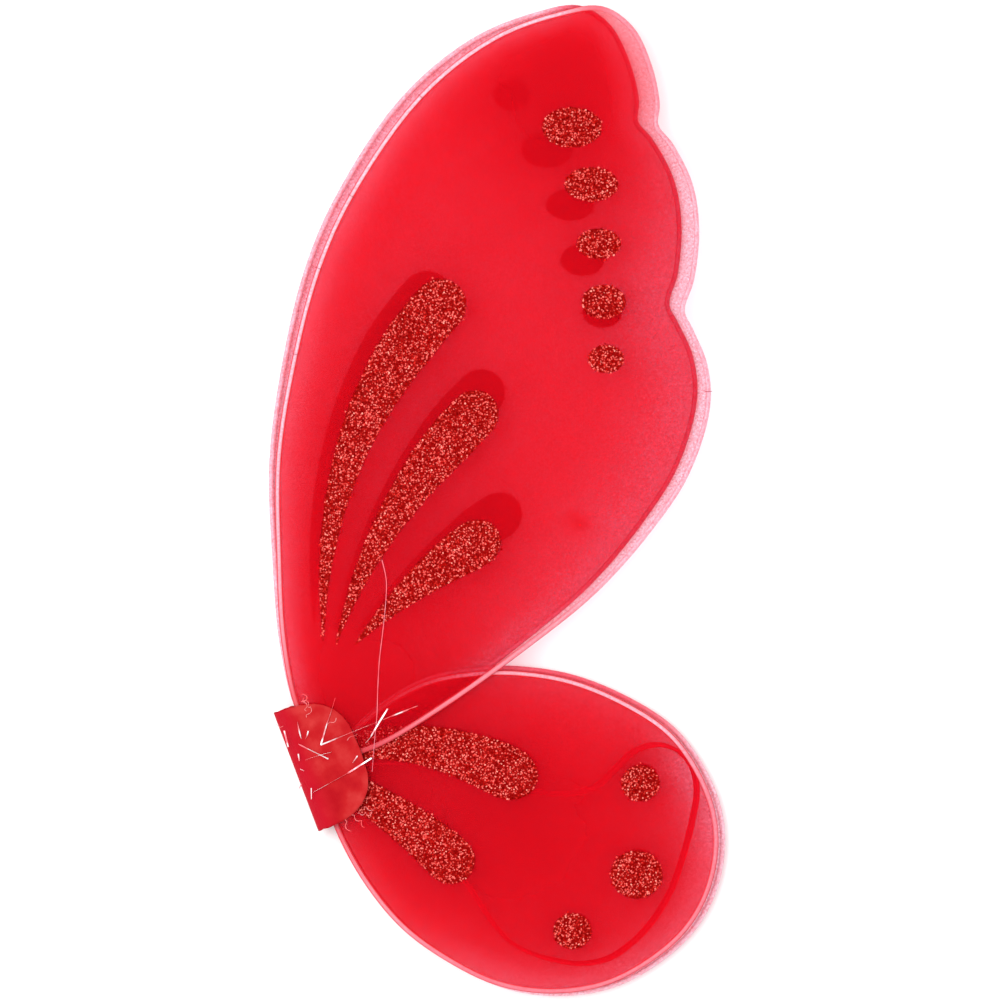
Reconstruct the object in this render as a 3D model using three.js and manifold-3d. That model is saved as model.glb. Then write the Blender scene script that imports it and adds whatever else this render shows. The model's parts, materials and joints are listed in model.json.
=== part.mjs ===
// Fairy wings folded flat: two matching sides, each an upper and a lower wing of springy wire in a
// stretched nylon sleeve, joined at a hub that folds along a straight spine.
// Millimetres, +Z up. The spine runs along Y and the wings reach towards +X.
// The origin is on the resting face, below the middle of the far half of the hub.
import * as THREE from 'three';
import { mergeVertices } from 'three/addons/utils/BufferGeometryUtils.js';
import Module from 'manifold-3d';

const wasm = await Module();
wasm.setup();

// ---- driving dimensions ----
const wireDiameter = 2.4;
const wireSides = 8;
const clothThickness = 0.2;
const clothGap = 0.05; // between the wire and the cloth that is stretched over it
const sleeveThickness = wireDiameter + 2 * (clothThickness + clothGap);
const glitterThickness = 0.25;
const loopDiameter = 2; // elastic shoulder loop
const loopLift = 1.4; // from the fold plane to the middle of a shoulder loop
const patchWidth = 69; // centre patch, opened out
const patchHeight = 63;
const patchSquareness = 2.9; // exponent of the superellipse that the patch is cut to
const patchThickness = 0.6;
const backingShare = 0.86; // the backing patch beside the centre patch
const hubX = 18; // from the spine to the middle of a side's hub
const creaseWidth = 7; // how far from the spine the patch has risen to full height

// Heights above the fold plane, for one side; the other side mirrors them.
const lowerSleeveBase = 2.8;
const upperSleeveBase = 6.15;
const glitterGap = 0.05;
const backingBase = 1.7;
const backingThickness = 0.5;
const tapeBase = 2.4;
const tapeTop = 9.45;
const tapeThickness = 0.25;
const patchBase = 9.6;
const foldHeight = patchBase + patchThickness; // from the resting face to the fold plane

const sides = { near: 1, far: -1 };
const spanSteps = 2; // straight steps of a wire between two points of its outline
const loopSteps = 60;
const dropSteps = 9;

// ---- colours ----
const finishes = {
  wire: new THREE.MeshStandardMaterial({ color: 0xf3dfe2, roughness: 0.35, metalness: 0 }),
  nylon: new THREE.MeshStandardMaterial({ color: 0xd9203c, roughness: 0.6, metalness: 0 }),
  glitter: new THREE.MeshStandardMaterial({ color: 0xc4151c, roughness: 0.35, metalness: 0.3 }),
  satin: new THREE.MeshStandardMaterial({ color: 0xc8102e, roughness: 0.45, metalness: 0 }),
  elastic: new THREE.MeshStandardMaterial({ color: 0xa00d22, roughness: 0.7, metalness: 0 }),
  tape: new THREE.MeshStandardMaterial({ color: 0x9c1226, roughness: 0.6, metalness: 0 }),
  glue: new THREE.MeshStandardMaterial({ color: 0xefe6dc, roughness: 0.3, metalness: 0 }),
  tinsel: new THREE.MeshStandardMaterial({ color: 0xf6eef0, roughness: 0.2, metalness: 0.4 }),
};

// ---- wing outlines, as the wire runs from the hub, round the wing and back ----
const upperOutline = [
  [15, 6], [12.5, 31], [18, 64], [30, 102], [48, 150], [74, 195], [100, 231], [128, 259],
  [178, 293], [222, 307], [257, 307], [278, 302], [288, 288], [290, 268], [287, 248], [282.5, 238],
  [286, 226], [288, 204], [283, 182], [272, 160], [262, 147], [262.5, 136], [263, 118],
  [257, 98], [236, 71], [210, 52], [172, 32], [126, 17], [80, 5], [44, -1.5], [23, -1],
];
const lowerOutline = [
  [22, 3], [48, 14], [76, 18.5], [100, 14.5], [121, 7], [145, -7], [167, -28], [181, -48],
  [187, -68], [188, -90], [183, -109], [171, -128], [154, -142], [131, -150.5], [106, -153],
  [80, -147], [57, -134], [38, -114], [23, -91], [14, -65], [10, -40], [10, -24], [14, -6],
];

// Each wing: its outline, its layer, and how it was bent: drawn longer along X and Y from the hub,
// then turned about it.
const upper = { outline: upperOutline, base: upperSleeveBase };
const lower = { outline: lowerOutline, base: lowerSleeveBase };
const wings = {
  near_upper: { ...upper, side: 'near', turn: 0, stretch: [1, 1] },
  near_lower: { ...lower, side: 'near', turn: 0, stretch: [1, 1] },
  far_upper: { ...upper, side: 'far', turn: 1.6, stretch: [0.995, 0.995] },
  far_lower: { ...lower, side: 'far', turn: 0.9, stretch: [1.012, 1.03] },
};

// Glitter drops: narrow end, bend of the middle line, round end, half of the greatest width, and the
// share of that width the narrow end starts with.
// Glitter dots: middle, half length, half width.
const dotTurn = -21;
const motifs = {
  near_upper: {
    drops: [
      { from: [36, 56], bend: [71, 158], to: [162, 198], half: 13 },
      { from: [41, 52], bend: [85, 111], to: [158, 140], half: 12 },
      { from: [50, 49], bend: [88, 70], to: [137, 77], half: 11.5 },
    ],
    dots: [
      [243, 252, 15, 10], [242, 222, 13.5, 8.5], [235, 193, 11, 7.5], [227, 165, 11, 8.5], [218, 138, 9, 7],
    ],
  },
  far_upper: {
    drops: [
      { from: [33, 62], bend: [66, 164], to: [157, 205], half: 13 },
      { from: [42, 58], bend: [88, 120], to: [165, 149], half: 12 },
      { from: [52, 54], bend: [95, 77], to: [152, 86], half: 11.5 },
    ],
    dots: [
      [221, 279, 9, 8], [228, 247, 13, 9], [229, 217, 12, 8], [225, 189, 11, 8], [225, 161, 10, 8],
    ],
  },
  near_lower: {
    drops: [
      { from: [27, 3], bend: [72, -4], to: [109, -49], half: 13, start: 0.45 },
      { from: [22, -16], bend: [47, -45], to: [62, -79], half: 12, start: 0.6 },
    ],
    dots: [[159, -66, 9.5, 9], [141, -108, 13, 12], [101, -123, 9.5, 9]],
  },
  far_lower: {
    drops: [
      { from: [28, 3], bend: [73, -3.5], to: [110.5, -48.5], half: 12.5, start: 0.45 },
      { from: [22, -17], bend: [47.5, -46], to: [62.5, -80], half: 11.5, start: 0.6 },
    ],
    dots: [[160.5, -65, 8.5, 8], [142.5, -107, 11.5, 11], [102.5, -123, 8.5, 8]],
  },
};

// Route of an elastic shoulder loop, out of the backing patch and back to it.
const loopRoute = [
  [29, -21.5], [34, -29], [42, -42], [50, -57], [57, -73], [61.5, -88], [65, -104], [70, -117],
  [78, -126.5], [88, -134], [99, -140], [112, -142.5], [125, -140], [140, -133], [154, -122],
  [166, -108], [176, -94], [184, -80], [186, -68], [182, -57.5], [173, -51], [161, -50.5],
  [149, -55.5], [137, -60], [122, -58], [104, -48.5], [84, -34], [64, -21], [46, -12.5], [32, -8],
];
const loopShift = { near: [0.4, -0.4], far: [-0.5, 0.5] };

// Tinsel strands that cross at the dab of glue on the near patch, from the dab outwards.
const dab = [17, 8.6];
const strandEnds = [[32, 28], [69, 9.7], [26, 8.7], [7, 4.3]];

// ---- helpers ----
const rad = THREE.MathUtils.degToRad;

function bentPoint([x, y], wing) {
  const [alongX, alongY] = wing.stretch;
  const point = new THREE.Vector2((x - hubX) * alongX, y * alongY);
  point.rotateAround(new THREE.Vector2(), rad(wing.turn));
  return new THREE.Vector3(point.x + hubX, point.y, 0);
}

// A wire's line, stepped evenly between its points, so that close points keep their tight bends.
function wireCurve(wing) {
  const curve = new THREE.CatmullRomCurve3(wing.outline.map((point) => bentPoint(point, wing)));
  curve.getUtoTmapping = (share) => share;
  return curve;
}

function wireSteps(wing) {
  return spanSteps * (wing.outline.length - 1);
}

function tube(curve, diameter, sideCount, count) {
  const section = new THREE.Shape().absarc(0, 0, diameter / 2, 0, 2 * Math.PI);
  const options = { extrudePath: curve, steps: count, curveSegments: sideCount / 2, bevelEnabled: false };
  return new THREE.ExtrudeGeometry(section, options);
}

function plate(points, thickness) {
  return new THREE.ExtrudeGeometry(new THREE.Shape(points), { depth: thickness, bevelEnabled: false });
}

// Height of a layer's lower face: base is counted outwards from the fold plane.
function layerHeight(side, base, thickness) {
  return side === 'near' ? foldHeight + base : foldHeight - base - thickness;
}

function solidOf(geometry) {
  const bare = geometry.clone();
  bare.deleteAttribute('normal');
  bare.deleteAttribute('uv');
  const merged = mergeVertices(bare, 1e-4);
  return new wasm.Manifold(new wasm.Mesh({
    numProp: 3,
    vertProperties: Float32Array.from(merged.attributes.position.array),
    triVerts: Uint32Array.from(merged.index.array),
  }));
}

function geometryOf(solid) {
  const mesh = solid.getMesh();
  const geometry = new THREE.BufferGeometry();
  geometry.setAttribute('position', new THREE.BufferAttribute(mesh.vertProperties, mesh.numProp));
  geometry.setIndex(new THREE.BufferAttribute(mesh.triVerts, 1));
  return geometry;
}

function superellipse(width, height, count = 20) {
  const points = [];
  for (let i = 0; i <= count; i += 1) {
    const angle = Math.PI * (i / count - 0.5);
    const across = Math.abs(Math.cos(angle)) ** (2 / patchSquareness);
    const up = Math.sign(Math.sin(angle)) * Math.abs(Math.sin(angle)) ** (2 / patchSquareness);
    points.push(new THREE.Vector2((width / 2) * across, (height / 2) * up));
  }
  return points;
}

const wingsGroup = new THREE.Group();
wingsGroup.position.x = -hubX;

function add(name, geometry, finish, z = 0) {
  const mesh = new THREE.Mesh(geometry, finishes[finish].clone());
  mesh.name = name;
  mesh.position.z = z;
  wingsGroup.add(mesh);
}

// ---- wings ----
function addWire(name, wing) {
  const z = layerHeight(wing.side, wing.base, sleeveThickness) + sleeveThickness / 2;
  add(`${name}_wire`, tube(wireCurve(wing), wireDiameter, wireSides, wireSteps(wing)), 'wire', z);
}

// The wire's line moved outwards by a distance, without some steps at each end.
function sleeveOutline(wing, out, skipped) {
  const curve = wireCurve(wing);
  const count = wireSteps(wing);
  const points = [];
  for (let i = skipped; i <= count - skipped; i += 1) {
    const point = curve.getPoint(i / count);
    const along = curve.getTangent(i / count);
    points.push(new THREE.Vector2(point.x - along.y * out, point.y + along.x * out));
  }
  return points;
}

// A flat bag of cloth over the wire, open at its mouth beside the hub.
function addSleeve(name, wing) {
  const outer = plate(sleeveOutline(wing, sleeveThickness / 2, 1), sleeveThickness);
  const inside = sleeveOutline(wing, sleeveThickness / 2 - clothThickness, 0);
  const cavity = plate(inside, sleeveThickness - 2 * clothThickness).translate(0, 0, clothThickness);
  const sleeve = geometryOf(solidOf(outer).subtract(solidOf(cavity)));
  add(`${name}_sleeve`, sleeve, 'nylon', layerHeight(wing.side, wing.base, sleeveThickness));
}

// A drop grows evenly in width from its narrow end, and closes with a round end.
function dropOutline({ from, bend, to, half, start = 0 }) {
  const middle = new THREE.QuadraticBezierCurve(
    new THREE.Vector2(...from), new THREE.Vector2(...bend), new THREE.Vector2(...to),
  );
  const widest = 0.8;
  const closing = 1 - half / middle.getLength();
  const left = [];
  const right = [];
  for (let i = 1; i < 2 * dropSteps; i += 1) {
    const share = Math.sin((Math.PI / 2) * (i / (2 * dropSteps)));
    const point = middle.getPoint(share);
    const along = middle.getTangent(share);
    const round = Math.sqrt(1 - Math.max(0, (share - closing) / (1 - closing)) ** 2);
    const width = half * Math.min(1, start + (1 - start) * (share / widest)) * round;
    left.push(new THREE.Vector2(point.x - along.y * width, point.y + along.x * width));
    right.unshift(new THREE.Vector2(point.x + along.y * width, point.y - along.x * width));
  }
  return [middle.getPoint(0), ...right.reverse(), middle.getPoint(1), ...left.reverse()];
}

function dotOutline([x, y, halfLength, halfWidth]) {
  const ellipse = new THREE.EllipseCurve(x, y, halfLength, halfWidth, 0, 2 * Math.PI, false, rad(dotTurn));
  return ellipse.getPoints(16).slice(0, -1);
}

function addGlitter(name, wing) {
  const z = layerHeight(wing.side, wing.base + sleeveThickness + glitterGap, glitterThickness);
  motifs[name].drops.forEach((drop, i) => {
    add(`${name}_glitter_drop_${i + 1}`, plate(dropOutline(drop), glitterThickness), 'glitter', z);
  });
  motifs[name].dots.forEach((dot, i) => {
    add(`${name}_glitter_dot_${i + 1}`, plate(dotOutline(dot), glitterThickness), 'glitter', z);
  });
}

// ---- hub ----
// One half of the satin patch: flat over the hub, and falling to the fold beside the spine.
function addPatch(side) {
  const edge = 1; // the spine's fold is left open this far from the hinge line
  const low = patchBase - creaseWidth + edge;
  const profile = new THREE.Shape([
    new THREE.Vector2(edge, low), new THREE.Vector2(creaseWidth, patchBase),
    new THREE.Vector2(patchWidth, patchBase), new THREE.Vector2(patchWidth, patchBase + patchThickness),
    new THREE.Vector2(creaseWidth - patchThickness / 2, patchBase + patchThickness),
    new THREE.Vector2(edge - patchThickness, low + patchThickness / 2),
  ]);
  const sheet = new THREE.ExtrudeGeometry(profile, { depth: patchHeight + 2, bevelEnabled: false });
  sheet.rotateX(Math.PI / 2).translate(0, patchHeight / 2 + 1, 0);
  const cutter = plate(superellipse(patchWidth, patchHeight), 2 * foldHeight);
  const half = geometryOf(solidOf(sheet).intersect(solidOf(cutter)));
  if (side === 'far') half.rotateX(Math.PI);
  add(`outer_patch_${side}`, half, 'satin', foldHeight);
}

function addBacking(side) {
  const outline = superellipse(patchWidth * backingShare, patchHeight * backingShare);
  outline[0].x = 1;
  outline[outline.length - 1].x = 1;
  const z = layerHeight(side, backingBase, backingThickness);
  add(`backing_patch_${side}`, plate(outline, backingThickness), 'satin', z);
}

// Cloth tape folded round the wire ends, closed on the spine's side.
function addTape(side) {
  const left = 9.8;
  const right = 27;
  const halfHeight = 9;
  const inner = tapeBase + tapeThickness;
  const outer = tapeTop - tapeThickness;
  const profile = new THREE.Shape([
    [left, tapeBase], [right, tapeBase], [right, inner], [left + tapeThickness, inner],
    [left + tapeThickness, outer], [right, outer], [right, tapeTop], [left, tapeTop],
  ].map(([x, y]) => new THREE.Vector2(x, y)));
  const strip = new THREE.ExtrudeGeometry(profile, { depth: 2 * halfHeight, bevelEnabled: false });
  strip.rotateX(Math.PI / 2).translate(0, halfHeight, 0);
  if (side === 'far') strip.rotateX(Math.PI);
  add(`binding_tape_${side}`, strip, 'tape', foldHeight);
}

// A flat pad of glue between the upper and the lower wing's wires.
function addGluePad(side) {
  const thickness = 0.6;
  const radius = 4;
  const upperWire = upperSleeveBase + sleeveThickness / 2;
  const lowerWire = lowerSleeveBase + sleeveThickness / 2;
  const base = (upperWire + lowerWire) / 2 - thickness / 2;
  const pad = new THREE.CylinderGeometry(radius, radius, thickness, 16).rotateX(Math.PI / 2);
  add(`glue_pad_${side}`, pad.translate(hubX, 0, thickness / 2), 'glue', layerHeight(side, base, thickness));
}

function addShoulderLoop(side) {
  const [dx, dy] = loopShift[side];
  const points = loopRoute.map(([x, y]) => new THREE.Vector3(x + dx, y + dy, 0));
  const loop = tube(new THREE.CatmullRomCurve3(points), loopDiameter, 8, loopSteps);
  add(`shoulder_loop_${side}`, loop, 'elastic', foldHeight + sides[side] * loopLift);
}

// Flat strands of tinsel held on the near patch by a dab of glue.
function addTinsel() {
  const strandWidth = 0.7;
  const strandThickness = 0.4;
  let tuft = solidOf(new THREE.CylinderGeometry(2, 2.6, 0.8, 12).rotateX(Math.PI / 2).translate(...dab, 0.4));
  strandEnds.forEach(([x, y]) => {
    const length = Math.hypot(x - dab[0], y - dab[1]);
    const strand = new THREE.BoxGeometry(length, strandWidth, strandThickness);
    strand.translate(length / 2, 0, strandThickness / 2 + 0.1);
    strand.rotateZ(Math.atan2(y - dab[1], x - dab[0])).translate(dab[0], dab[1], 0);
    tuft = tuft.add(solidOf(strand));
  });
  add('tinsel_tuft', geometryOf(tuft), 'tinsel', foldHeight + patchBase + patchThickness + 0.05);
}

for (const [name, wing] of Object.entries(wings)) {
  addWire(name, wing);
  addSleeve(name, wing);
  addGlitter(name, wing);
}
for (const side of Object.keys(sides)) {
  addPatch(side);
  addBacking(side);
  addTape(side);
  addGluePad(side);
  addShoulderLoop(side);
}
addTinsel();

export default wingsGroup;
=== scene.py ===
import json
import math

import bmesh
import bpy
import numpy as np
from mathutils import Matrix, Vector, noise


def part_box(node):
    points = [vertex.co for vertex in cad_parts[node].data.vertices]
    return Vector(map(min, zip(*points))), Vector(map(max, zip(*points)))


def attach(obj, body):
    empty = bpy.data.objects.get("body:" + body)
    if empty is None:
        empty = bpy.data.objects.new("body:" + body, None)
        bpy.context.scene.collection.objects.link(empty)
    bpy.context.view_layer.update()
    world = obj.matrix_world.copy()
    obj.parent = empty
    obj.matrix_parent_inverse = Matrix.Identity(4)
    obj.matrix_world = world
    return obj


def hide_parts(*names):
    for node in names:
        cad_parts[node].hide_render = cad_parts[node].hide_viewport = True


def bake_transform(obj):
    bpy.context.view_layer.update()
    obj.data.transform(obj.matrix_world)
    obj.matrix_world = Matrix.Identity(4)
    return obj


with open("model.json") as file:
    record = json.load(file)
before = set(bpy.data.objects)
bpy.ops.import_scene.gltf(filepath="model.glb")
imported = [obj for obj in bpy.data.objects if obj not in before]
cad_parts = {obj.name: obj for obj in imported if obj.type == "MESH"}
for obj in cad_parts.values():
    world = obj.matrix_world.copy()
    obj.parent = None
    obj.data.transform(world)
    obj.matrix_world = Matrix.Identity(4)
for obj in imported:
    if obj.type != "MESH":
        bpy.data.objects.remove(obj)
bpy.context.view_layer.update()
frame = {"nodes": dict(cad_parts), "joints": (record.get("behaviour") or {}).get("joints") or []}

mm = 0.001
foldLine = next(joint["pos_m"] for joint in frame["joints"] if joint["name"] == "fold")
spineX, _, foldZ = foldLine      # the fold runs along Y through this point
sides = {"near": 1, "far": -1}   # the near side lies above the fold
print("frame loaded:", len(frame["nodes"]), "nodes")


def linked(name, data):
    made = bpy.data.objects.new(name, data)
    bpy.context.scene.collection.objects.link(made)
    return made


# ---- camera, straight above, turned so that the spine leans to the left ----
camera = {"lean": -20.77, "middle": (143.6, 91.0), "view": 0.5, "lens": 200}


def addCamera():
    data = bpy.data.cameras.new("camera")
    data.lens = camera["lens"]
    data.clip_end = 100
    distance = camera["view"] * data.lens / data.sensor_width
    holder = linked("camera", data)
    x, y = camera["middle"]
    holder.location = (x * mm + spineX, y * mm, foldZ + distance)
    holder.rotation_euler = (0, 0, math.radians(camera["lean"]))
    bpy.context.scene.camera = holder


addCamera()


# ---- lines and meshes ----
# A smooth line through points, with the same number of steps between each two (centripetal Catmull-Rom).
def smoothLine(points, steps):
    p = np.array(points, float)
    p = np.vstack([2 * p[0] - p[1], p, 2 * p[-1] - p[-2]])
    line = []
    for a, b, c, d in zip(p[:-3], p[1:-2], p[2:-1], p[3:]):
        before, here, after = (np.linalg.norm(v) ** 0.5 for v in (b - a, c - b, d - c))
        leave = ((b - a) / before - (c - a) / (before + here) + (c - b) / here) * here
        arrive = ((c - b) / here - (d - b) / (here + after) + (d - c) / after) * here
        for i in range(steps):
            t = i / steps
            line.append(b + leave * t + (3 * (c - b) - 2 * leave - arrive) * t**2
                        + (2 * (b - c) + leave + arrive) * t**3)
    return np.vstack([line, p[-2]])


# Unit directions along a flat line, and square to it on its left.
def headings(line):
    along = np.gradient(line, axis=0)
    along /= np.linalg.norm(along, axis=1)[:, None]
    return along, np.stack([-along[:, 1], along[:, 0]], axis=1)


# Millimetres from the spine to metres in the row frame, with a height already in metres.
def placed(points, height):
    p = np.array(points, float)
    z = np.full(len(p), 1.0) * height
    return np.column_stack([p[:, 0] * mm + spineX, p[:, 1] * mm, z])


def addMesh(name, vertices, faces, materials, smooth=True, turnOut=False):
    mesh = bpy.data.meshes.new(name)
    mesh.from_pydata([tuple(v) for v in vertices], [], faces)
    if turnOut:
        shell = bmesh.new()
        shell.from_mesh(mesh)
        bmesh.ops.recalc_face_normals(shell, faces=shell.faces)
        shell.to_mesh(mesh)
        shell.free()
    mesh.polygons.foreach_set("use_smooth", [smooth] * len(mesh.polygons))
    for material in materials:
        mesh.materials.append(material)
    return linked(name, mesh)


# One number for each point of a mesh, for its material or its tree to read.
def addNumbers(piece, name, values):
    numbers = piece.data.attributes.new(name, "FLOAT", "POINT")
    numbers.data.foreach_set("value", np.array(values, np.float32))


# A round tube along a line that stays level, with domed ends.
def addTube(name, line, radius, sideCount, material):
    along, left = headings(line[:, :2])
    # Rings past each end: how far out and how wide, as shares of the radius.
    dome = [(-0.9, 0.45), (-0.6, 0.8)]
    rings = [(0, s * radius, r) for s, r in dome] + [(i, 0, 1) for i in range(len(line))]
    rings += [(-1, -s * radius, r) for s, r in reversed(dome)]
    vertices = []
    for i, shift, width in rings:
        centre = line[i] + np.append(along[i] * shift, 0)
        for k in range(sideCount):
            angle = 2 * math.pi * k / sideCount
            out = np.append(left[i] * math.cos(angle), math.sin(angle))
            vertices.append(centre + out * radius * width)
    faces = []
    for i in range(len(rings) - 1):
        for k in range(sideCount):
            a, b = i * sideCount + k, i * sideCount + (k + 1) % sideCount
            faces.append((a, b, b + sideCount, a + sideCount))
    last = (len(rings) - 1) * sideCount
    faces += [tuple(range(sideCount)), tuple(last + k for k in range(sideCount))]
    return addMesh(name, vertices, faces, [material], turnOut=True)


# The quads of a grid whose points run along its rows.
def gridFaces(columns, rows):
    corners = [i * (rows + 1) + j for i in range(columns) for j in range(rows)]
    return [(a, a + 1, a + rows + 2, a + rows + 1) for a in corners]


# Gives a sheet its thickness in millimetres, half to each side.
def thickened(piece, thickness):
    solidify = piece.modifiers.new("thickness", "SOLIDIFY")
    solidify.thickness = thickness * mm
    solidify.offset = 0
    graph = bpy.context.evaluated_depsgraph_get()
    mesh = bpy.data.meshes.new_from_object(piece.evaluated_get(graph), depsgraph=graph)
    piece.modifiers.clear()
    piece.data = mesh
    return piece


# ---- materials ----
def newMaterial(name):
    material = bpy.data.materials.new(name)
    material.use_nodes = True
    material.node_tree.nodes.clear()
    return material, material.node_tree


# Adds a node, sets its inputs and properties, and joins the inputs that are given as sockets.
def node(tree, kind, inputs=None, **settings):
    made = tree.nodes.new(kind)
    for key, value in settings.items():
        setattr(made, key, value)
    for key, value in (inputs or {}).items():
        if isinstance(value, bpy.types.NodeSocket):
            tree.links.new(value, made.inputs[key])
        else:
            made.inputs[key].default_value = value
    return made


def mathNode(tree, operation, a, b, clamp=False):
    return node(tree, "ShaderNodeMath", {0: a, 1: b}, operation=operation, use_clamp=clamp).outputs[0]


def noiseNode(tree, scale, detail, stretch=(1, 1, 1)):
    where = node(tree, "ShaderNodeTexCoord").outputs["Object"]
    where = node(tree, "ShaderNodeMapping", {"Vector": where, "Scale": stretch}).outputs[0]
    return node(tree, "ShaderNodeTexNoise", {"Vector": where, "Scale": scale, "Detail": detail}).outputs[0]


def ramp(tree, factor, stops, way="LINEAR"):
    made = node(tree, "ShaderNodeValToRGB", {"Fac": factor})
    band = made.color_ramp
    band.interpolation = way
    for i, (position, colour) in enumerate(stops):
        stop = band.elements[i] if i < 2 else band.elements.new(position)
        stop.position = position
        stop.color = (*colour, 1)
    return made.outputs[0]


# Dents of this depth in millimetres.
def bumpNode(tree, height, depth):
    bump = node(tree, "ShaderNodeBump", {"Height": height, "Distance": depth * mm, "Strength": 1.0})
    return bump.outputs[0]


def principled(tree, values):
    return node(tree, "ShaderNodeBsdfPrincipled", values)


def finished(material, shader):
    node(material.node_tree, "ShaderNodeOutputMaterial", {"Surface": shader.outputs[0]})
    return material


# A finish that one noise mottles: the noise's scale and detail, the colours over it, the shader's other
# values, and how deep the noise dents the surface.
def mottled(name, scale, detail, colours, values, dent=0):
    material, tree = newMaterial(name)
    pattern = noiseNode(tree, scale, detail)
    values = {"Base Color": ramp(tree, pattern, colours), **values}
    if dent:
        values["Normal"] = bumpNode(tree, pattern, dent)
    return finished(material, principled(tree, values))


nylonLook = {
    "throughShare": 0.5, "gap": (0.965, 0.905, 0.96), "grain": 1.15, "grainScale": 950, "grainDent": 0.05,
    "cloud": 0.06, "cloudScale": 45,
    # colours of the lit face and of the light let through, where the fibres lie thin and where thick; the
    # darker thick end is painted shade where the cloth lies dense
    "face": [(0.42, (0.80, 0.004, 0.017)), (0.70, (0.62, 0.002, 0.009))],
    "through": [(0.42, (0.93, 0.005, 0.024)), (0.70, (0.76, 0.003, 0.012))],
}


# Sheer knit nylon: red fibres that cover a part of the surface, and clear gaps between them.
def nylonMaterial():
    material, tree = newMaterial("sheer nylon")
    look = nylonLook
    cover = node(tree, "ShaderNodeAttribute", attribute_name="cover").outputs["Fac"]
    grain = mathNode(tree, "SUBTRACT", noiseNode(tree, look["grainScale"], 1.0), 0.5)
    cloud = mathNode(tree, "SUBTRACT", noiseNode(tree, look["cloudScale"], 3.0), 0.5)
    # The ramps darken the fibres where the cover is thick: painted shade on the dense cloth, toward the hub
    # and the tip.
    face, behind = (ramp(tree, cover, look[part], "EASE") for part in ("face", "through"))
    sparse = mathNode(tree, "SUBTRACT", 1.0, mathNode(tree, "MULTIPLY", cover, 2.0), clamp=True)
    speckle = mathNode(tree, "MULTIPLY", mathNode(tree, "MULTIPLY", grain, look["grain"]), sparse)
    cover = mathNode(tree, "ADD", cover, speckle)
    cover = mathNode(tree, "ADD", cover, mathNode(tree, "MULTIPLY", cloud, look["cloud"]), clamp=True)
    fibre = principled(tree, {"Base Color": face, "Roughness": 0.55, "Specular IOR Level": 0.04,
                              "Normal": bumpNode(tree, grain, look["grainDent"])})
    through = node(tree, "ShaderNodeBsdfTranslucent", {"Color": behind})
    cloth = node(tree, "ShaderNodeMixShader", {0: look["throughShare"], 1: fibre.outputs[0],
                                               2: through.outputs[0]})
    gap = node(tree, "ShaderNodeBsdfTransparent", {"Color": (*look["gap"], 1)})
    return finished(material, node(tree, "ShaderNodeMixShader", {0: cover, 1: gap.outputs[0],
                                                                 2: cloth.outputs[0]}))


# The wire's colour ramp: darker red at 0, partly the cloth's colour and partly painted shade, up to pale at
# 1, a painted highlight.
wireLook = {"scuffScale": 220, "scuff": 0.3, "dent": 0.08, "roughness": 0.25,
            "coatAndPaintedLight": [(0.0, (0.45, 0.02, 0.05)), (0.5, (0.78, 0.30, 0.37)), (1.0, (0.90, 0.72, 0.76))]}


def wireMaterial():
    material, tree = newMaterial("coated wire")
    scuff = noiseNode(tree, wireLook["scuffScale"], 4.0)
    # pale is a painted highlight where high and painted shade where low; the scuff noise adds wear.
    pale = node(tree, "ShaderNodeAttribute", attribute_name="pale").outputs["Fac"]
    scuffed = mathNode(tree, "MULTIPLY", mathNode(tree, "SUBTRACT", scuff, 0.5), wireLook["scuff"])
    pale = mathNode(tree, "ADD", pale, scuffed, clamp=True)
    return finished(material, principled(tree, {
        "Base Color": ramp(tree, pale, wireLook["coatAndPaintedLight"]), "Roughness": wireLook["roughness"],
        "Normal": bumpNode(tree, scuff, wireLook["dent"]),
    }))


satinLook = {
    "weaveTurn": 38, "weaveScale": 420.0, "weaveShare": 0.12, "crushScale": 110, "cloudScale": 38,
    "cloudShare": 0.6, "dent": 0.6, "roughness": 0.45,
    # colours of the mottle, from painted crease shade up to painted sheen over the satin's red
    "colours": [(0.38, (0.36, 0.004, 0.009)), (0.49, (0.42, 0.010, 0.013)), (0.60, (0.49, 0.030, 0.030))],
    "atSpine": (0.43, 0.005, 0.016), "spineReach": (4, 13),   # an even red up to here, mottled from there
}


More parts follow.
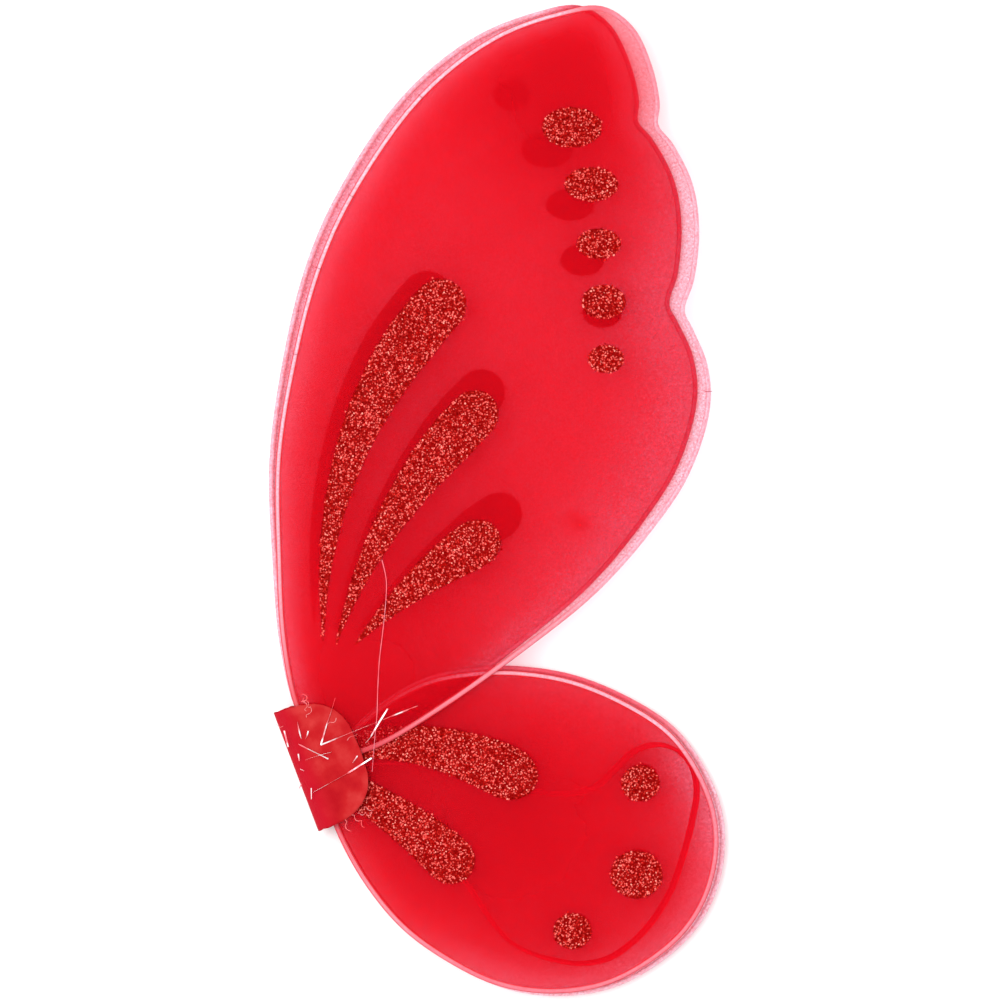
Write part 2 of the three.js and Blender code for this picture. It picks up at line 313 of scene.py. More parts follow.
def satinMaterial():
    material, tree = newMaterial("satin")
    look = satinLook
    where = node(tree, "ShaderNodeTexCoord").outputs["Object"]
    slant = (0, 0, math.radians(look["weaveTurn"]))
    slant = node(tree, "ShaderNodeMapping", {"Vector": where, "Rotation": slant}).outputs[0]
    weave = node(tree, "ShaderNodeTexWave", {"Vector": slant, "Scale": look["weaveScale"], "Distortion": 1.2,
                                             "Detail": 1.0}).outputs["Fac"]
    crush = noiseNode(tree, look["crushScale"], 4.0)
    cloud = noiseNode(tree, look["cloudScale"], 3.0)
    # The mottle is partly uneven tone and partly painted light: painted sheen, and the crush that dents the
    # satin darkens its dents as painted crease shade.
    mottle = mathNode(tree, "ADD", mathNode(tree, "MULTIPLY", cloud, look["cloudShare"]),
                      mathNode(tree, "MULTIPLY", crush, 1 - look["cloudShare"]))
    colour = ramp(tree, mottle, look["colours"])
    x = node(tree, "ShaderNodeSeparateXYZ", {"Vector": where}).outputs["X"]
    fromSpine = mathNode(tree, "ABSOLUTE", mathNode(tree, "SUBTRACT", x, spineX), 0)
    start, end = look["spineReach"]
    even = node(tree, "ShaderNodeMapRange", {
        "Value": fromSpine, "From Min": start * mm, "From Max": end * mm,
    })
    colour = node(tree, "ShaderNodeMix", {"Factor": even.outputs[0], 6: (*look["atSpine"], 1), 7: colour},
                  data_type="RGBA").outputs[2]
    height = mathNode(tree, "ADD", mathNode(tree, "MULTIPLY", weave, look["weaveShare"]), crush)
    return finished(material, principled(tree, {
        "Base Color": colour, "Roughness": look["roughness"], "Specular IOR Level": 0.02,
        "Normal": bumpNode(tree, height, look["dent"]),
    }))


def tapeMaterial():
    material, tree = newMaterial("cloth tape")
    weave = noiseNode(tree, 1400, 1.0, stretch=(1, 0.25, 1))
    cloud = noiseNode(tree, 70, 3.0)
    colour = ramp(tree, cloud, [(0.3, (0.26, 0.006, 0.014)), (0.75, (0.38, 0.014, 0.026))])
    return finished(material, principled(tree, {"Base Color": colour, "Roughness": 0.7,
                                                "Normal": bumpNode(tree, weave, 0.15)}))


def elasticMaterial():
    material, tree = newMaterial("braided elastic")
    where = node(tree, "ShaderNodeTexCoord").outputs["UV"]
    braids = []
    for turn in (45, -45):
        slant = node(tree, "ShaderNodeMapping", {"Vector": where, "Rotation": (0, 0, math.radians(turn))})
        braids.append(node(tree, "ShaderNodeTexWave", {"Vector": slant.outputs[0], "Scale": 1.4,
                                                       "Distortion": 0.3}).outputs["Fac"])
    braid = mathNode(tree, "MULTIPLY", *braids)
    colour = ramp(tree, braid, [(0.0, (0.60, 0.006, 0.020)), (0.5, (0.86, 0.014, 0.040))])
    return finished(material, principled(tree, {
        "Base Color": colour, "Roughness": 0.75, "Specular IOR Level": 0.1,
        "Normal": bumpNode(tree, braid, 0.2),
    }))


# Each flake gets a random place on the ramp, from painted shade to a painted glint, over the flakes' red.
def flakeMaterial():
    material, tree = newMaterial("glitter flakes")
    shade_and_glint = node(tree, "ShaderNodeAttribute", attribute_name="shade_and_glint").outputs["Fac"]
    colour = ramp(tree, shade_and_glint, [(0.0, (0.15, 0.0001, 0.0001)), (0.3, (0.34, 0.0015, 0.001)),
                               (0.55, (0.55, 0.018, 0.014)), (0.8, (0.78, 0.095, 0.082)),
                               (0.96, (0.86, 0.15, 0.13)), (1.0, (0.95, 0.30, 0.24))])
    return finished(material, principled(tree, {"Base Color": colour, "Roughness": 0.4, "Metallic": 0.15,
                                                "Specular IOR Level": 0.0}))


def floorMaterial():
    material, tree = newMaterial("floor")
    return finished(material, principled(tree, {"Base Color": (0.93, 0.93, 0.93, 1), "Roughness": 0.9,
                                                "Specular IOR Level": 0.1}))


nylon = nylonMaterial()
coatedWire = wireMaterial()
satin = satinMaterial()
clothTape = tapeMaterial()
elastic = elasticMaterial()
flakes = flakeMaterial()
hotGlue = mottled("hot glue", 400, 3.0, [(0.3, (0.72, 0.60, 0.50)), (0.7, (0.86, 0.78, 0.70))],
                  {"Roughness": 0.25, "Subsurface Weight": 0.3, "Subsurface Radius": (2 * mm,) * 3}, dent=0.2)
glueHair = mottled("glue hair", 120, 2.0,   # a hair of glue takes the colour of the cloth it lies on
                   [(0.35, (0.62, 0.07, 0.12)), (0.65, (0.80, 0.24, 0.30))], {"Roughness": 0.3})
# The foil's mottle from red to pale is painted: the silver tinsel's reflection of the red cloth, and its
# highlights.
foil = mottled("tinsel foil", 170, 1.0, [(0.42, (0.80, 0.16, 0.19)), (0.54, (0.82, 0.74, 0.76))],
               {"Roughness": 0.3, "Metallic": 0.35})
glitterGlue = mottled("glitter glue", 900, 2.0, [(0.3, (0.16, 0.0005, 0.0005)), (0.7, (0.32, 0.003, 0.003))],
                      {"Roughness": 0.5, "Specular IOR Level": 0.02}, dent=0.1)
thread = mottled("seam thread", 1200, 2.0, [(0.3, (0.20, 0.012, 0.03)), (0.7, (0.36, 0.03, 0.06))],
                 {"Roughness": 0.8})
fluff = mottled("stray fibre", 600, 2.0, [(0.35, (0.75, 0.08, 0.09)), (0.65, (0.95, 0.42, 0.42))],
                {"Roughness": 0.5})
print("materials made")


# ---- shoulder loops, one on each side of the fold ----
shoulderLoop = {
    "diameter": 2, "length": 0.44, "steps": 8,
    "shift": {"near": (0.4, -0.4), "far": (-0.5, 0.5)},
    "route": [
        (29, -21.5), (34, -29), (42, -42), (50, -57), (57, -73), (61.5, -88), (65, -104), (70, -117),
        (78, -126.5), (88, -134), (99, -140), (112, -142.5), (125, -140), (140, -133), (154, -122),
        (166, -108), (176, -94), (184, -80), (186, -68), (182, -57.5), (173, -51), (161, -50.5),
        (149, -55.5), (137, -60), (122, -58), (104, -48.5), (84, -34), (64, -21), (46, -12.5), (32, -8),
    ],
}


def addShoulderLoop(side):
    name = f"shoulder_loop_{side}"
    low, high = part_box(name)
    route = np.array(shoulderLoop["route"], float) + shoulderLoop["shift"][side]
    points = placed(smoothLine(route, shoulderLoop["steps"]), (low.z + high.z) / 2)
    curve = bpy.data.curves.new(f"elastic_loop_{side}", "CURVE")
    curve.dimensions = "3D"
    curve.bevel_depth = shoulderLoop["diameter"] * mm / 2
    curve.bevel_resolution = 3
    curve.use_fill_caps = True
    spline = curve.splines.new("POLY")
    spline.points.add(len(points) - 1)
    spline.points.foreach_set("co", np.column_stack([points, np.ones(len(points))]).ravel())
    spline.use_smooth = True
    curve.materials.append(elastic)
    loop = linked(f"elastic_loop_{side}", curve)
    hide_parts(name)
    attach(loop, f"{side}_hub")


for side in sides:
    addShoulderLoop(side)
print("shoulder loops laid")


# ---- wings: wire loops in sleeves of stretched nylon ----
wingCut = {
    "upper": {
        "centre": (150, 150),
        "edge": [
            (15, 6), (12.5, 31), (18, 64), (30, 102), (48, 150), (74, 195), (100, 231), (128, 259),
            (178, 293), (222, 307), (257, 307), (278, 302), (288, 288), (290, 268), (287, 248), (282.5, 238),
            (286, 226), (288, 204), (283, 182), (272, 160), (262, 147), (262.5, 136), (263, 118),
            (257, 98), (236, 71), (210, 52), (172, 32), (126, 17), (80, 5), (44, -1.5), (23, -1),
        ],
    },
    "lower": {
        "centre": (100, -65),
        "edge": [
            (22, 3), (48, 14), (76, 18.5), (100, 14.5), (121, 7), (145, -7), (167, -28), (181, -48),
            (187, -68), (188, -90), (183, -109), (171, -128), (154, -142), (131, -150.5), (106, -153),
            (80, -147), (57, -134), (38, -114), (23, -91), (14, -65), (10, -40), (10, -24), (14, -6),
        ],
    },
}
hubMiddle = np.array([18.0, 0.0])
wings = {
    "near_upper": {"side": "near", "cut": "upper", "turn": 0, "stretch": (1, 1)},
    "near_lower": {"side": "near", "cut": "lower", "turn": 0, "stretch": (1, 1)},
    "far_upper": {"side": "far", "cut": "upper", "turn": 1.6, "stretch": (0.995, 0.995)},
    "far_lower": {"side": "far", "cut": "lower", "turn": 0.9, "stretch": (1.012, 1.03)},
}
sleeveShape = {
    "steps": 6, "mouthSteps": 6, "rings": 24, "bunching": 1.5, "wrapSteps": 6,
    "insets": (0, 0.6, 1.1, 1.7, 2.5),   # rows of cloth beside the wire
    "gap": 0.1,                          # between the wire and the cloth
    "dip": 0.45, "dipReach": (0.1, 1.5), # how far the cloth falls from the top of the wire beside it
    "sag": 0.8, "sagReach": 22,          # how far the inner layer is drawn to the outer one
    # Small folds that fan out from the hub.
    "gathers": 46, "gatherDepth": 0.2, "gatherReach": 55, "gatherFrom": 4,
}
# The spots at the hub, at the tip and in the lower wing's middle raise the cover there: denser cloth, and
# painted shade as well.
# How much of the surface the fibres cover: in the middle, at the edge, and where the cloth is drawn thin on
# the side that its direction names. Round a spot the cover comes to the spot's own: place, radius, cover.
# Round a slack place it is drawn less: place, radius, share.
# The wire's colour is painted: pale on the side its direction names, a painted highlight, and darker red on
# the other, partly the cloth's colour over it and partly painted shade.
sleeveCover = {
    "middle": 0.385, "reach": 40, "drawnFrom": 8, "drawnFade": (-0.1, 0.3), "spotFade": (3, 16),
    # thin on top of the wire, which paints a highlight line along it, and dense where the cloth turns down
    # beside it, darker flanks that are partly painted shade
    "onWire": 0.17, "onWireAtHub": 0.92, "hubReach": 60, "besideWire": 0.72, "besideReach": (0.55, 1.0, 1.9),
    "near_upper": {
        "edge": 0.475, "drawn": (0.8, -0.6), "thin": 0.18, "drawnTo": 62, "slack": [((262, 275), 48, 0.8)],
        "spots": [((18, 0), 105, 0.48), ((258, 282), 60, 0.48), ((175.5, 67), 5, 0.60)],
        "paleWay": (-1, 0), "paleFade": (-0.5, -0.1), "coatAndPaintedLight": (0.82, 1.0), "paintedWireLines": (0.0, 1.0),
    },
    "near_lower": {
        "edge": 0.45, "drawn": (0.5, 0.85), "thin": 0.30, "drawnTo": 52, "slack": [],
        "spots": [((18, 0), 60, 0.47), ((95, -70), 62, 0.48)],
        "paleWay": (-0.4, 0.9), "paleFade": (-0.5, 0.2), "coatAndPaintedLight": (0.75, 1.0), "paintedWireLines": (0.55, 1.0),
    },
    "far_upper": {
        "edge": 0.35, "drawn": (-0.8, 0.6), "thin": 0.19, "drawnTo": 24, "slack": [],
        "spots": [((18, 0), 105, 0.60), ((258, 282), 60, 0.62)],
        "paleWay": (-1, 0), "paleFade": (-0.5, -0.1), "coatAndPaintedLight": (0.2, 0.9), "paintedWireLines": (0.0, 0.0),
    },
    "far_lower": {
        "edge": 0.40, "drawn": (0.4, -0.7), "thin": 0.15, "drawnTo": 30, "slack": [],
        "spots": [((18, 0), 60, 0.58), ((95, -70), 62, 0.58)],
        "paleWay": (0.4, -0.7), "paleFade": (-0.3, 0.3), "coatAndPaintedLight": (0.5, 1.0), "paintedWireLines": (0.0, 0.0),
    },
}


# Points of a wing's cut, stretched from the hub and turned about it.
def bentPoints(points, wing):
    angle = math.radians(wing["turn"])
    turn = np.array([[math.cos(angle), -math.sin(angle)], [math.sin(angle), math.cos(angle)]])
    return ((np.array(points, float) - hubMiddle) * wing["stretch"]) @ turn.T + hubMiddle


def wireLine(wing):
    return smoothLine(bentPoints(wingCut[wing["cut"]]["edge"], wing), sleeveShape["steps"])


def addWire(name, wing):
    bottom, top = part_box(f"{name}_wire")
    radius = (top.z - bottom.z) / 2
    line = placed(wireLine(wing), (bottom.z + top.z) / 2)
    wire = addTube(f"{name}_wire_loop", line, radius, 12, coatedWire)
    flat = np.array([v.co[:2] for v in wire.data.vertices]) / mm - (spineX / mm, 0)
    _, facing = nearestOn(wireLine(wing), flat)
    # Painted shade at the low end of this range, painted highlight at the high end.
    low, high = sleeveCover[name]["coatAndPaintedLight"]
    addNumbers(wire, "pale", low + (high - low) * paleness(name, facing))
    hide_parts(f"{name}_wire")
    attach(wire, f"{name}_wing")
    return radius


# How far each point is from a line, and which way the nearest parts of the line face, on average.
def nearestOn(line, points, blur=12):
    step = np.diff(line, axis=0)
    length = np.linalg.norm(step, axis=1)
    square = np.stack([-step[:, 1], step[:, 0]], axis=1) / length[:, None]
    away, facing = [], []
    for point in points:
        t = np.clip(((point - line[:-1]) * step).sum(1) / length**2, 0, 1)
        far = np.linalg.norm(point - line[:-1] - t[:, None] * step, axis=1)
        away.append(far.min())
        nearness = length * np.exp((far.min() - far) / blur)
        facing.append(nearness @ square / nearness.sum())
    return np.array(away), np.array(facing)


# Rises smoothly from 0 at low to 1 at high.
def fade(values, low, high):
    t = np.clip((values - low) / (high - low), 0, 1)
    return t * t * (3 - 2 * t)


# How far each point lies on the side of the wire that gets the painted highlight.
def paleness(name, facing):
    return fade(facing @ np.array(sleeveCover[name]["paleWay"]), *sleeveCover[name]["paleFade"])


# 1 at a place, falling off over a radius round it.
def roundPlace(points, place, radius):
    return np.exp(-(np.linalg.norm(points - np.array(place), axis=1) / radius)**2)


# Cover by place; turned is how steeply the cloth falls beside the wire, as millimetres from the wire's line.
def coverAt(name, points, away, facing, turned):
    look, own = sleeveCover, sleeveCover[name]
    dense = own["edge"] + (look["middle"] - own["edge"]) * fade(away, 0, look["reach"])
    thin = own["thin"] + (look["middle"] - own["thin"]) * fade(away, look["drawnFrom"], own["drawnTo"])
    drawn = fade(facing @ np.array(own["drawn"]), *look["drawnFade"])
    for place, radius, share in own["slack"]:
        drawn *= 1 - share * roundPlace(points, place, radius)
    cover = dense + (thin - dense) * drawn
    # Spots pull the cover up: partly denser cloth, partly painted shade toward the hub, the tip and the lower
    # wing's middle.
    for place, radius, aim in own["spots"]:
        cover += (aim - cover) * roundPlace(points, place, radius) * fade(away, *look["spotFade"])
    top, side, end = look["besideReach"]
    # On the highlighted side of the wire: a painted highlight line on top, and flanks that are partly painted
    # shade.
    least, most = own["paintedWireLines"]
    paintedWireLines = least + (most - least) * paleness(name, facing)
    cover += (look["besideWire"] - cover) * paintedWireLines * fade(-turned, -end, -side)
    atHub = np.exp(-np.linalg.norm(points - hubMiddle, axis=1) / look["hubReach"])
    onWire = look["onWire"] + (look["onWireAtHub"] - look["onWire"]) * atHub
    return cover + (onWire - cover) * paintedWireLines * fade(-turned, -side, -top)


# One bag of cloth: two layers joined round the wire, open between the wire's ends.
def addSleeve(name, wing, wireRadius):
    low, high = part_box(f"{name}_sleeve")
    middleZ = (low.z + high.z) / 2
    shape = sleeveShape
    line = wireLine(wing)
    _, left = headings(line)
    mouth = np.linspace(line[-1], line[0], shape["mouthSteps"] + 2)[1:-1]
    loop = np.vstack([line, mouth])
    centre = bentPoints([wingCut[wing["cut"]]["centre"]], wing)[0]
    across = np.linspace(-left[-1], -left[0], shape["mouthSteps"] + 2)[1:-1]
    inward = np.vstack([-left, across / np.linalg.norm(across, axis=1)[:, None]])
    beside = [loop + inward * inset for inset in shape["insets"]]
    rest = shape["rings"] - len(beside)
    shares = [(i / rest) ** shape["bunching"] for i in range(1, rest + 1)][:-1]
    towardsCentre = [beside[-1] * (1 - share) + centre * share for share in shares]
    flat = np.vstack(beside + towardsCentre + [centre[None]])
    away, facing = nearestOn(line, flat)
    radius = wireRadius / mm + shape["gap"]
    fromHub = flat - hubMiddle
    reach = np.linalg.norm(fromHub, axis=1)
    fan = np.arctan2(fromHub[:, 1], fromHub[:, 0])
    gather = 0.5 + 0.5 * np.sin(fan * shape["gathers"] + 2 * np.sin(fan * 7))
    gather *= np.exp(-reach / shape["gatherReach"]) * np.minimum(1, away / shape["gatherFrom"])
    gather *= shape["gatherDepth"]
    sag = shape["sag"] * (1 - np.exp(-away / shape["sagReach"]))
    dip = shape["dip"] * fade(away, *shape["dipReach"])
    outward = sides[wing["side"]]
    outer = (radius - dip - gather) * outward
    inner = (-radius + dip + sag + gather) * outward
    vertices = np.vstack([placed(flat, middleZ + outer * mm), placed(flat, middleZ + inner * mm)])
    cover = np.tile(coverAt(name, flat, away, facing, away), 2)
    count, rings = len(loop), len(shape["insets"]) + len(shares)
    faces = []
    for layer in range(2):
        base = layer * len(flat)
        for j in range(rings - 1):
            for i in range(count):
                a, b = base + j * count + i, base + j * count + (i + 1) % count
                faces.append((a, b, b + count, a + count))
        last, tip = base + (rings - 1) * count, base + rings * count
        faces += [(last + i, last + (i + 1) % count, tip) for i in range(count)]
    rows = [np.arange(len(line))]
    for k in range(1, shape["wrapSteps"]):
        angle = math.pi * k / shape["wrapSteps"]
        rows.append(len(vertices) + np.arange(len(line)))
        height = middleZ + radius * mm * math.cos(angle) * outward
        vertices = np.vstack([vertices, placed(line + left * radius * math.sin(angle), height)])
        turned = np.full(len(line), radius * math.sin(angle))
        cover = np.append(cover, coverAt(name, line, away[:len(line)], facing[:len(line)], turned))
    rows.append(len(flat) + np.arange(len(line)))
    for upper, under in zip(rows[:-1], rows[1:]):
        faces += [(upper[i], upper[i + 1], under[i + 1], under[i]) for i in range(len(line) - 1)]
    sleeve = addMesh(f"{name}_nylon", vertices, faces, [nylon], turnOut=True)
    addNumbers(sleeve, "cover", cover)
    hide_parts(f"{name}_sleeve")
    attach(sleeve, f"{name}_wing")


for name, wing in wings.items():
    addSleeve(name, wing, addWire(name, wing))
    print("wing made:", name)


# ---- things that Geometry Nodes make ----
def newTree(name, inputs):
    tree = bpy.data.node_groups.new(name, "GeometryNodeTree")
    tree.interface.new_socket("Geometry", in_out="INPUT", socket_type="NodeSocketGeometry")
    for label, kind in inputs.items():
        tree.interface.new_socket(label, in_out="INPUT", socket_type=f"NodeSocket{kind}")
    tree.interface.new_socket("Geometry", in_out="OUTPUT", socket_type="NodeSocketGeometry")
    return tree, tree.nodes.new("NodeGroupInput").outputs


def geometryNode(tree, kind, inputs, **settings):
    return node(tree, f"GeometryNode{kind}", inputs, **settings).outputs[0]


def numberAt(tree, name):
    return geometryNode(tree, "InputNamedAttribute", {"Name": name}, data_type="FLOAT")


def randomNode(tree, seed, low=0.0, high=1.0, kind="FLOAT"):
    made = node(tree, "FunctionNodeRandomValue", {"Min": low, "Max": high, "Seed": seed}, data_type=kind)
    return made.outputs[0 if kind == "FLOAT_VECTOR" else 1]


# Ends a tree in real meshes with their material, joined to a mesh that keeps its own.
def endTree(tree, geometry, finish, kept=None):
    real = geometryNode(tree, "RealizeInstances", {"Geometry": geometry})
    result = geometryNode(tree, "SetMaterial", {"Geometry": real, "Material": finish})
    if kept is not None:
        joined = node(tree, "GeometryNodeJoinGeometry")
        tree.links.new(kept, joined.inputs[0])
        tree.links.new(result, joined.inputs[0])
        result = joined.outputs[0]
    node(tree, "NodeGroupOutput", {"Geometry": result})
    return tree


# Runs a tree on a mesh with these input values, and returns the result as a plain mesh piece.
def grown(name, source, tree, values):
    modifier = source.modifiers.new("grow", "NODES")
    modifier.node_group = tree
    for item in tree.interface.items_tree:
        if item.in_out == "INPUT" and item.name in values:
            modifier[item.identifier] = values[item.name]
    graph = bpy.context.evaluated_depsgraph_get()
    mesh = bpy.data.meshes.new_from_object(source.evaluated_get(graph), depsgraph=graph)
    mesh.name = name
    source.modifiers.clear()
    bpy.data.objects.remove(source)
    return linked(name, mesh)


glitterLook = {
    "size": 0.86, "spacing": 0.60, "density": 4.0, "sizes": (0.75, 1.3), "tilt": 30, "lift": 0.12,
    "spill": 1.8, "spillPower": 7.0,   # how far flakes lie past the edge, and how few of them do
    "sink": 0.62,                      # the print lies in the dip of the cloth
}


# Hexagonal flakes strewn over a print, tilted at random, with a few spilled past its edge.
def glitterTree():
    tree, given = newTree("glitter", {"Flake Size": "Float", "Spacing": "Float", "Density": "Float",
                                      "Spill": "Float", "Tilt": "Float", "Lift": "Float", "Seed": "Int",
                                      "Flakes": "Material"})
    points = node(tree, "GeometryNodeDistributePointsOnFaces", {
        "Mesh": given["Geometry"], "Distance Min": given["Spacing"], "Density Max": given["Density"],
        "Seed": given["Seed"],
    }, distribute_method="POISSON")
    wild = mathNode(tree, "POWER", randomNode(tree, 3), glitterLook["spillPower"])
    way = randomNode(tree, 5, (-1, -1, 0), (1, 1, 0), "FLOAT_VECTOR")
    spill = mathNode(tree, "MULTIPLY", wild, given["Spill"])
    shift = node(tree, "ShaderNodeVectorMath", {0: way, "Scale": spill}, operation="SCALE").outputs[0]
    rise = node(tree, "ShaderNodeVectorMath", {0: points.outputs["Normal"], "Scale": given["Lift"]},
                operation="SCALE").outputs[0]
    shift = node(tree, "ShaderNodeVectorMath", {0: shift, 1: rise}, operation="ADD").outputs[0]
    moved = geometryNode(tree, "SetPosition", {"Geometry": points.outputs["Points"], "Offset": shift})
    flake = geometryNode(tree, "MeshCircle", {"Vertices": 6, "Radius": 0.5}, fill_type="NGON")
    least = mathNode(tree, "MULTIPLY", given["Tilt"], -1.0)
    low = node(tree, "ShaderNodeCombineXYZ", {"X": least, "Y": least, "Z": 0.0}).outputs[0]
    high = node(tree, "ShaderNodeCombineXYZ", {"X": given["Tilt"], "Y": given["Tilt"], "Z": 6.283}).outputs[0]
    lean = randomNode(tree, 11, low, high, "FLOAT_VECTOR")
    size = mathNode(tree, "MULTIPLY", randomNode(tree, 17, *glitterLook["sizes"]), given["Flake Size"])
    strewn = geometryNode(tree, "InstanceOnPoints", {
        "Points": moved, "Instance": flake, "Rotation": points.outputs["Rotation"], "Scale": size,
    })
    turned = geometryNode(tree, "RotateInstances", {"Instances": strewn, "Rotation": lean})
    # a random number for each flake: its place between painted shade and painted glint
    toned = geometryNode(tree, "StoreNamedAttribute", {
        "Geometry": turned, "Name": "shade_and_glint", "Value": randomNode(tree, 23),
    }, data_type="FLOAT", domain="INSTANCE")
    return endTree(tree, toned, given["Flakes"], kept=given["Geometry"])


# The outward faces of a wing's printed motifs, as one mesh.
def printPlates(name, side, nodes):
    up = sides[side]
    vertices, faces = [], []
    for n in nodes:
        copy = bmesh.new()
        copy.from_mesh(frame["nodes"][n].data)
        bmesh.ops.remove_doubles(copy, verts=copy.verts, dist=1e-6)
        edge = max(v.co.z * up for v in copy.verts)
        for f in copy.faces:
            if any(abs(v.co.z * up - edge) > 1e-5 for v in f.verts):
                continue
            corners = [v.co - Vector((0, 0, glitterLook["sink"] * mm * up)) for v in f.verts]
            if f.normal.z * up < 0:
                corners.reverse()
            faces.append(tuple(len(vertices) + i for i in range(len(corners))))
            vertices += corners
        copy.free()
    return addMesh(name, vertices, faces, [glitterGlue], smooth=False)


glitterGrowth = glitterTree()


def addGlitter(name, wing, seed):
    nodes = sorted(n for n in frame["nodes"] if n.startswith(f"{name}_glitter"))
    plates = printPlates(f"{name}_plates", wing["side"], nodes)
    glitter = grown(f"{name}_glitter", plates, glitterGrowth, {
        "Flake Size": glitterLook["size"] * mm, "Spacing": glitterLook["spacing"] * mm,
        "Density": glitterLook["density"] / mm**2, "Spill": glitterLook["spill"] * mm,
        "Tilt": math.radians(glitterLook["tilt"]), "Lift": glitterLook["lift"] * mm, "Seed": seed,
        "Flakes": flakes,
    })
    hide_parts(*nodes)
    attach(glitter, f"{name}_wing")
    print("glitter strewn:", name, len(glitter.data.polygons), "faces")


for seed, (name, wing) in enumerate(wings.items(), 1):
    addGlitter(name, wing, seed)


# ---- satin patches, folded round the spine ----
patch = {
    "width": 69, "height": 63, "squareness": 2.9, "thickness": 0.35, "columns": 44, "rows": 44,
    "rumple": 0.35, "smoothTo": 6, "fray": 0.5,
    # half of each patch's section, as distance from the spine and height over the fold
    "outer": {"share": 1, "seed": 4, "bend": 4.5,
              "profile": [(0.15, 0.0), (0.35, 1.8), (1.2, 3.9), (3.2, 6.6), (5.4, 8.8), (7.2, 9.7), (9, 9.9),
                          (34.5, 9.9)]},
    "backing": {"share": 0.86, "seed": 9, "bend": 1.2,
                "profile": [(0.5, 0.0), (0.75, 0.9), (1.4, 1.6), (2.4, 1.95), (6, 1.95), (29.67, 1.95)]},
}


def patchMesh(name, profile, share, seed):
    columns, rows, squareness = patch["columns"], patch["rows"], patch["squareness"]
    half = smoothLine(profile, 6)
    along = np.append(0, np.cumsum(np.linalg.norm(np.diff(half, axis=0), axis=1)))
    at = np.linspace(0, along[-1], columns + 1)
    half = np.column_stack([np.interp(at, along, half[:, k]) for k in range(2)])
    width, height = patch["width"] / 2 * share, patch["height"] / 2 * share
    vertices = []
    for i in range(-columns, columns + 1):
        x, z = half[abs(i)] * (1, math.copysign(1, i))
        top = height * max(0.0, 1 - min(1, x / width) ** squareness) ** (1 / squareness)
        for j in range(rows + 1):
            v = 2 * j / rows - 1
            fray = noise.noise(Vector((x * 0.4 + seed, v * 3, z * 0.2))) * patch["fray"] * abs(v) ** 3
            y = v * (top + fray)
            ripple = noise.noise(Vector((x * 0.09, y * 0.09, seed + math.copysign(3, i))))
            ripple += 0.5 * noise.noise(Vector((x * 0.25, y * 0.25, seed + math.copysign(7, i))))
            drop = abs(ripple) * patch["rumple"] * min(1, x / patch["smoothTo"])
            vertices.append((x * mm + spineX, y * mm, foldZ + (z - math.copysign(drop, i)) * mm))
    return thickened(addMesh(name, vertices, gridFaces(2 * columns, rows), [satin]), patch["thickness"])


def addPatches():
    for kind in ("outer", "backing"):
        cut = patch[kind]
        piece = patchMesh(f"{kind}_patch", cut["profile"], cut["share"], cut["seed"])
        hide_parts(f"{kind}_patch_near", f"{kind}_patch_far")
        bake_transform(piece)


addPatches()
print("patches folded")


# ---- cloth tape and hot glue inside the hub ----
tape = {
    "halfHeight": 8.9, "thickness": 0.2, "wave": 0.12, "rows": 24, "middle": 5.9, "flat": (0.0405, 0.0178),
    "profile": [(27, 2.53), (19, 2.53), (11.3, 2.53), (10.3, 2.8), (9.95, 3.7), (9.95, 8.1),
                (10.3, 9.0), (11.3, 9.32), (19, 9.32), (27, 9.32)],
}


def addTape(side):
    line, rows = smoothLine(tape["profile"], 6), tape["rows"]
    vertices = []
    for i, (x, z) in enumerate(line):
        for j in range(rows + 1):
            v = 2 * j / rows - 1
            wave = noise.noise(Vector((i * 0.13, v * 2.3, sides[side] * 5))) * tape["wave"]
            y = v * tape["halfHeight"] + wave * 2 * abs(v) ** 6
            pull = math.copysign(wave, z - tape["middle"]) * 0.5
            vertices.append(((x + wave) * mm + spineX, y * mm, foldZ + sides[side] * (z - abs(pull)) * mm))
    strip = addMesh(f"wire_tape_{side}", vertices, gridFaces(len(line) - 1, rows), [clothTape])
    thickened(strip, tape["thickness"])
    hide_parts(f"binding_tape_{side}")
    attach(strip, f"{side}_hub")


glueBlob = {"rings": 10, "segments": 28, "lump": 0.22}


def addGlue(side):
    low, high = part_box(f"glue_pad_{side}")
    centre, half = (low + high) / 2, (high - low) / 2
    vertices = []
    for i in range(1, glueBlob["rings"]):
        tilt = math.pi * i / glueBlob["rings"]
        for k in range(glueBlob["segments"]):
            turn = 2 * math.pi * k / glueBlob["segments"]
            way = Vector((math.sin(tilt) * math.cos(turn), math.sin(tilt) * math.sin(turn), math.cos(tilt)))
            bulge = noise.noise(way * 2.5 + Vector((0, 0, sides[side] * 4)))
            lump = 1 - glueBlob["lump"] * (0.5 + 0.5 * bulge)
            vertices.append(centre + Vector((way.x * half.x * lump, way.y * half.y * lump, way.z * half.z)))
    vertices += [centre + Vector((0, 0, half.z)), centre - Vector((0, 0, half.z))]
    count, top, bottom = glueBlob["segments"], len(vertices) - 2, len(vertices) - 1
    faces = []
    for k in range(count):
        following = (k + 1) % count
        faces.append((top, k, following))
        for i in range(glueBlob["rings"] - 2):
            here, below = i * count, (i + 1) * count
            faces.append((here + k, below + k, below + following, here + following))
        last = (glueBlob["rings"] - 2) * count
        faces.append((last + k, bottom, last + following))
    blob = addMesh(f"glue_blob_{side}", vertices, faces, [hotGlue], turnOut=True)
    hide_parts(f"glue_pad_{side}")
    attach(blob, f"{side}_hub")


for side in sides:
    addTape(side)
    addGlue(side)
print("hub filled")


